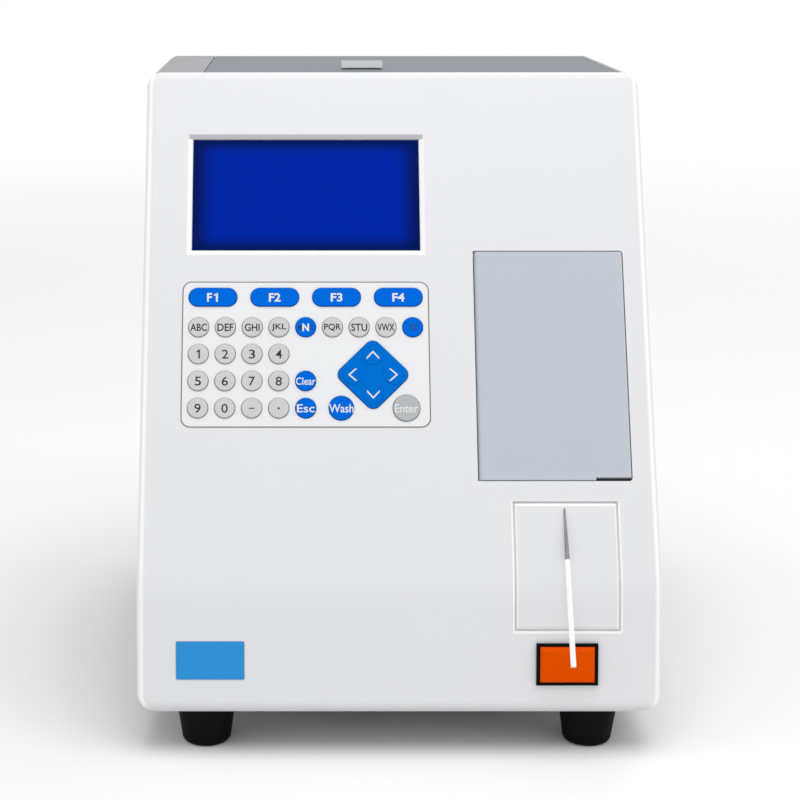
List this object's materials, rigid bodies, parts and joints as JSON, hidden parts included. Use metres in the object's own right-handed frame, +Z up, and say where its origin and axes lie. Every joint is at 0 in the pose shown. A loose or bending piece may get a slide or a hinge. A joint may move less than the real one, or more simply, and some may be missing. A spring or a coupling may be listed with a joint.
{
  "type": "benchtop chemistry analyzer",
  "caption": "Benchtop chemistry analyzer with a leaning front: display, sprung keypad, pump door, sipper with its aspirate key, hinged top lid over an optics bay, rear fan and inlet.",
  "frame": {"origin": "centre of the underside of the whole model, on the bench under the feet", "axes": "+X to the right seen from the front, +Y to the back, +Z up; the leaning front faces -Y"},
  "size_m": [0.242, 0.297, 0.3069],
  "materials": {
    "white_moulding": "semi-gloss moulded plastic, off white",
    "grey_cover": "fine textured paint, warm grey",
    "grey_tray": "fine textured paint, warm grey",
    "rear_sheet": "painted sheet, grey",
    "lid_gloss": "high gloss moulded plastic, cool grey",
    "steel": "plain turned steel",
    "display_glass": "clear window over a deep blue display",
    "circuit_board": "green solder mask",
    "overlay_film": "fine textured printed film",
    "door_matt": "matt blue grey plastic",
    "dark_plastic": "black moulded plastic",
    "pale_plastic": "natural acetal",
    "motor_steel": "plated motor can",
    "needle_steel": "drawn steel tube",
    "white_tube": "smooth white fluoropolymer tube",
    "black_frame": "black moulded plastic",
    "orange_key": "semi-gloss orange key cap",
    "badge_blue": "bare blue plate",
    "black_anodised": "black anodised aluminium",
    "zinc_sheet": "zinc plated sheet",
    "foot_rubber": "black rubber",
    "blue_key": "printed blue key",
    "grey_key": "printed grey key",
    "enter_key": "printed mid grey key"
  },
  "bodies": {
    "case": {"front_bezel": "white_moulding", "case_cover": "grey_cover", "base_tray": "grey_tray", "rear_panel": "rear_sheet", "hinge_pins": "steel", "display_window": "display_glass", "panel_board": "circuit_board", "keypad_overlay": "overlay_film", "pump_head": "dark_plastic", "pump_motor": "motor_steel", "sipper_needle": "needle_steel", "sipper_sleeve": "white_tube", "aspirate_switch": "black_frame", "badge_plate": "badge_blue", "bay_tray": "dark_plastic", "optics_block": "black_anodised", "filter_motor": "motor_steel", "main_board": "circuit_board", "power_supply": "zinc_sheet", "fan_frame": "dark_plastic", "mains_inlet": "black_frame", "feet": "foot_rubber", "screws": "steel"},
    "lid": {"top_lid": "lid_gloss"},
    "door": {"pump_door": "door_matt"},
    "aspirate_cap": {"aspirate_key": "orange_key"},
    "rocker": {"power_rocker": "black_frame"},
    "pump_wheel": {"pump_rotor": "pale_plastic"},
    "filter_disc": {"filter_wheel": "black_anodised"},
    "fan_wheel": {"fan_rotor": "dark_plastic"},
    "key_f1_cap": {"key_f1": "blue_key"},
    "key_f2_cap": {"key_f2": "blue_key"},
    "key_f3_cap": {"key_f3": "blue_key"},
    "key_f4_cap": {"key_f4": "blue_key"},
    "key_abc_cap": {"key_abc": "grey_key"},
    "key_def_cap": {"key_def": "grey_key"},
    "key_ghi_cap": {"key_ghi": "grey_key"},
    "key_jkl_cap": {"key_jkl": "grey_key"},
    "key_mno_cap": {"key_mno": "blue_key"},
    "key_pqr_cap": {"key_pqr": "grey_key"},
    "key_stu_cap": {"key_stu": "grey_key"},
    "key_vwx_cap": {"key_vwx": "grey_key"},
    "key_yz_cap": {"key_yz": "blue_key"},
    "key_1_cap": {"key_1": "grey_key"},
    "key_2_cap": {"key_2": "grey_key"},
    "key_3_cap": {"key_3": "grey_key"},
    "key_4_cap": {"key_4": "grey_key"},
    "key_5_cap": {"key_5": "grey_key"},
    "key_6_cap": {"key_6": "grey_key"},
    "key_7_cap": {"key_7": "grey_key"},
    "key_8_cap": {"key_8": "grey_key"},
    "key_9_cap": {"key_9": "grey_key"},
    "key_0_cap": {"key_0": "grey_key"},
    "key_minus_cap": {"key_minus": "grey_key"},
    "key_dot_cap": {"key_dot": "grey_key"},
    "key_clear_cap": {"key_clear": "blue_key"},
    "key_escape_cap": {"key_escape": "blue_key"},
    "key_wash_cap": {"key_wash": "blue_key"},
    "key_enter_cap": {"key_enter": "enter_key"},
    "key_arrows_cap": {"key_arrows": "blue_key"}
  },
  "joints": [
    {"name": "lid_hinge", "type": "hinge", "parent": "case", "child": "lid", "pos_m": [0, 0.14233, 0.2983], "axis": [-1, 0, 0], "range_deg": [0, 100]},
    {"name": "door_hinge", "type": "hinge", "parent": "case", "child": "door", "pos_m": [0.04, -0.06767, 0.17082], "axis": [0, -0.4746, -0.8802], "range_deg": [0, 90]},
    {"name": "aspirate_press", "type": "slide", "parent": "case", "child": "aspirate_cap", "axis": [0, 0.9815, -0.1915], "range_m": [0, 0.002], "stiffness_N_per_m": 700, "springref_m": -0.001},
    {"name": "rocker_tilt", "type": "hinge", "parent": "case", "child": "rocker", "pos_m": [-0.078, 0.14308, 0.0962], "axis": [-1, 0, 0], "range_deg": [0, 16]},
    {"name": "pump_spin", "type": "hinge", "parent": "case", "child": "pump_wheel", "pos_m": [0.0731, -0.04461, 0.15838], "axis": [0, -0.8802, 0.4746], "continuous": true},
    {"name": "filter_spin", "type": "hinge", "parent": "case", "child": "filter_disc", "pos_m": [0.0225, 0.08483, 0.2575], "axis": [1, 0, 0], "continuous": true},
    {"name": "fan_spin", "type": "hinge", "parent": "case", "child": "fan_wheel", "pos_m": [0.062, 0.13533, 0.1713], "axis": [0, 1, 0], "continuous": true},
    {"name": "key_f1_press", "type": "slide", "parent": "case", "child": "key_f1_cap", "axis": [0, 0.8802, -0.4746], "range_m": [0, 0.0006], "stiffness_N_per_m": 900, "springref_m": -0.0005},
    {"name": "key_f2_press", "type": "slide", "parent": "case", "child": "key_f2_cap", "axis": [0, 0.8802, -0.4746], "range_m": [0, 0.0006], "stiffness_N_per_m": 900, "springref_m": -0.0005},
    {"name": "key_f3_press", "type": "slide", "parent": "case", "child": "key_f3_cap", "axis": [0, 0.8802, -0.4746], "range_m": [0, 0.0006], "stiffness_N_per_m": 900, "springref_m": -0.0005},
    {"name": "key_f4_press", "type": "slide", "parent": "case", "child": "key_f4_cap", "axis": [0, 0.8802, -0.4746], "range_m": [0, 0.0006], "stiffness_N_per_m": 900, "springref_m": -0.0005},
    {"name": "key_abc_press", "type": "slide", "parent": "case", "child": "key_abc_cap", "axis": [0, 0.8802, -0.4746], "range_m": [0, 0.0006], "stiffness_N_per_m": 900, "springref_m": -0.0005},
    {"name": "key_def_press", "type": "slide", "parent": "case", "child": "key_def_cap", "axis": [0, 0.8802, -0.4746], "range_m": [0, 0.0006], "stiffness_N_per_m": 900, "springref_m": -0.0005},
    {"name": "key_ghi_press", "type": "slide", "parent": "case", "child": "key_ghi_cap", "axis": [0, 0.8802, -0.4746], "range_m": [0, 0.0006], "stiffness_N_per_m": 900, "springref_m": -0.0005},
    {"name": "key_jkl_press", "type": "slide", "parent": "case", "child": "key_jkl_cap", "axis": [0, 0.8802, -0.4746], "range_m": [0, 0.0006], "stiffness_N_per_m": 900, "springref_m": -0.0005},
    {"name": "key_mno_press", "type": "slide", "parent": "case", "child": "key_mno_cap", "axis": [0, 0.8802, -0.4746], "range_m": [0, 0.0006], "stiffness_N_per_m": 900, "springref_m": -0.0005},
    {"name": "key_pqr_press", "type": "slide", "parent": "case", "child": "key_pqr_cap", "axis": [0, 0.8802, -0.4746], "range_m": [0, 0.0006], "stiffness_N_per_m": 900, "springref_m": -0.0005},
    {"name": "key_stu_press", "type": "slide", "parent": "case", "child": "key_stu_cap", "axis": [0, 0.8802, -0.4746], "range_m": [0, 0.0006], "stiffness_N_per_m": 900, "springref_m": -0.0005},
    {"name": "key_vwx_press", "type": "slide", "parent": "case", "child": "key_vwx_cap", "axis": [0, 0.8802, -0.4746], "range_m": [0, 0.0006], "stiffness_N_per_m": 900, "springref_m": -0.0005},
    {"name": "key_yz_press", "type": "slide", "parent": "case", "child": "key_yz_cap", "axis": [0, 0.8802, -0.4746], "range_m": [0, 0.0006], "stiffness_N_per_m": 900, "springref_m": -0.0005},
    {"name": "key_1_press", "type": "slide", "parent": "case", "child": "key_1_cap", "axis": [0, 0.8802, -0.4746], "range_m": [0, 0.0006], "stiffness_N_per_m": 900, "springref_m": -0.0005},
    {"name": "key_2_press", "type": "slide", "parent": "case", "child": "key_2_cap", "axis": [0, 0.8802, -0.4746], "range_m": [0, 0.0006], "stiffness_N_per_m": 900, "springref_m": -0.0005},
    {"name": "key_3_press", "type": "slide", "parent": "case", "child": "key_3_cap", "axis": [0, 0.8802, -0.4746], "range_m": [0, 0.0006], "stiffness_N_per_m": 900, "springref_m": -0.0005},
    {"name": "key_4_press", "type": "slide", "parent": "case", "child": "key_4_cap", "axis": [0, 0.8802, -0.4746], "range_m": [0, 0.0006], "stiffness_N_per_m": 900, "springref_m": -0.0005},
    {"name": "key_5_press", "type": "slide", "parent": "case", "child": "key_5_cap", "axis": [0, 0.8802, -0.4746], "range_m": [0, 0.0006], "stiffness_N_per_m": 900, "springref_m": -0.0005},
    {"name": "key_6_press", "type": "slide", "parent": "case", "child": "key_6_cap", "axis": [0, 0.8802, -0.4746], "range_m": [0, 0.0006], "stiffness_N_per_m": 900, "springref_m": -0.0005},
    {"name": "key_7_press", "type": "slide", "parent": "case", "child": "key_7_cap", "axis": [0, 0.8802, -0.4746], "range_m": [0, 0.0006], "stiffness_N_per_m": 900, "springref_m": -0.0005},
    {"name": "key_8_press", "type": "slide", "parent": "case", "child": "key_8_cap", "axis": [0, 0.8802, -0.4746], "range_m": [0, 0.0006], "stiffness_N_per_m": 900, "springref_m": -0.0005},
    {"name": "key_9_press", "type": "slide", "parent": "case", "child": "key_9_cap", "axis": [0, 0.8802, -0.4746], "range_m": [0, 0.0006], "stiffness_N_per_m": 900, "springref_m": -0.0005},
    {"name": "key_0_press", "type": "slide", "parent": "case", "child": "key_0_cap", "axis": [0, 0.8802, -0.4746], "range_m": [0, 0.0006], "stiffness_N_per_m": 900, "springref_m": -0.0005},
    {"name": "key_minus_press", "type": "slide", "parent": "case", "child": "key_minus_cap", "axis": [0, 0.8802, -0.4746], "range_m": [0, 0.0006], "stiffness_N_per_m": 900, "springref_m": -0.0005},
    {"name": "key_dot_press", "type": "slide", "parent": "case", "child": "key_dot_cap", "axis": [0, 0.8802, -0.4746], "range_m": [0, 0.0006], "stiffness_N_per_m": 900, "springref_m": -0.0005},
    {"name": "key_clear_press", "type": "slide", "parent": "case", "child": "key_clear_cap", "axis": [0, 0.8802, -0.4746], "range_m": [0, 0.0006], "stiffness_N_per_m": 900, "springref_m": -0.0005},
    {"name": "key_escape_press", "type": "slide", "parent": "case", "child": "key_escape_cap", "axis": [0, 0.8802, -0.4746], "range_m": [0, 0.0006], "stiffness_N_per_m": 900, "springref_m": -0.0005},
    {"name": "key_wash_press", "type": "slide", "parent": "case", "child": "key_wash_cap", "axis": [0, 0.8802, -0.4746], "range_m": [0, 0.0006], "stiffness_N_per_m": 900, "springref_m": -0.0005},
    {"name": "key_enter_press", "type": "slide", "parent": "case", "child": "key_enter_cap", "axis": [0, 0.8802, -0.4746], "range_m": [0, 0.0006], "stiffness_N_per_m": 900, "springref_m": -0.0005},
    {"name": "key_arrows_press", "type": "slide", "parent": "case", "child": "key_arrows_cap", "axis": [0, 0.8802, -0.4746], "range_m": [0, 0.0006], "stiffness_N_per_m": 900, "springref_m": -0.0005}
  ]
}
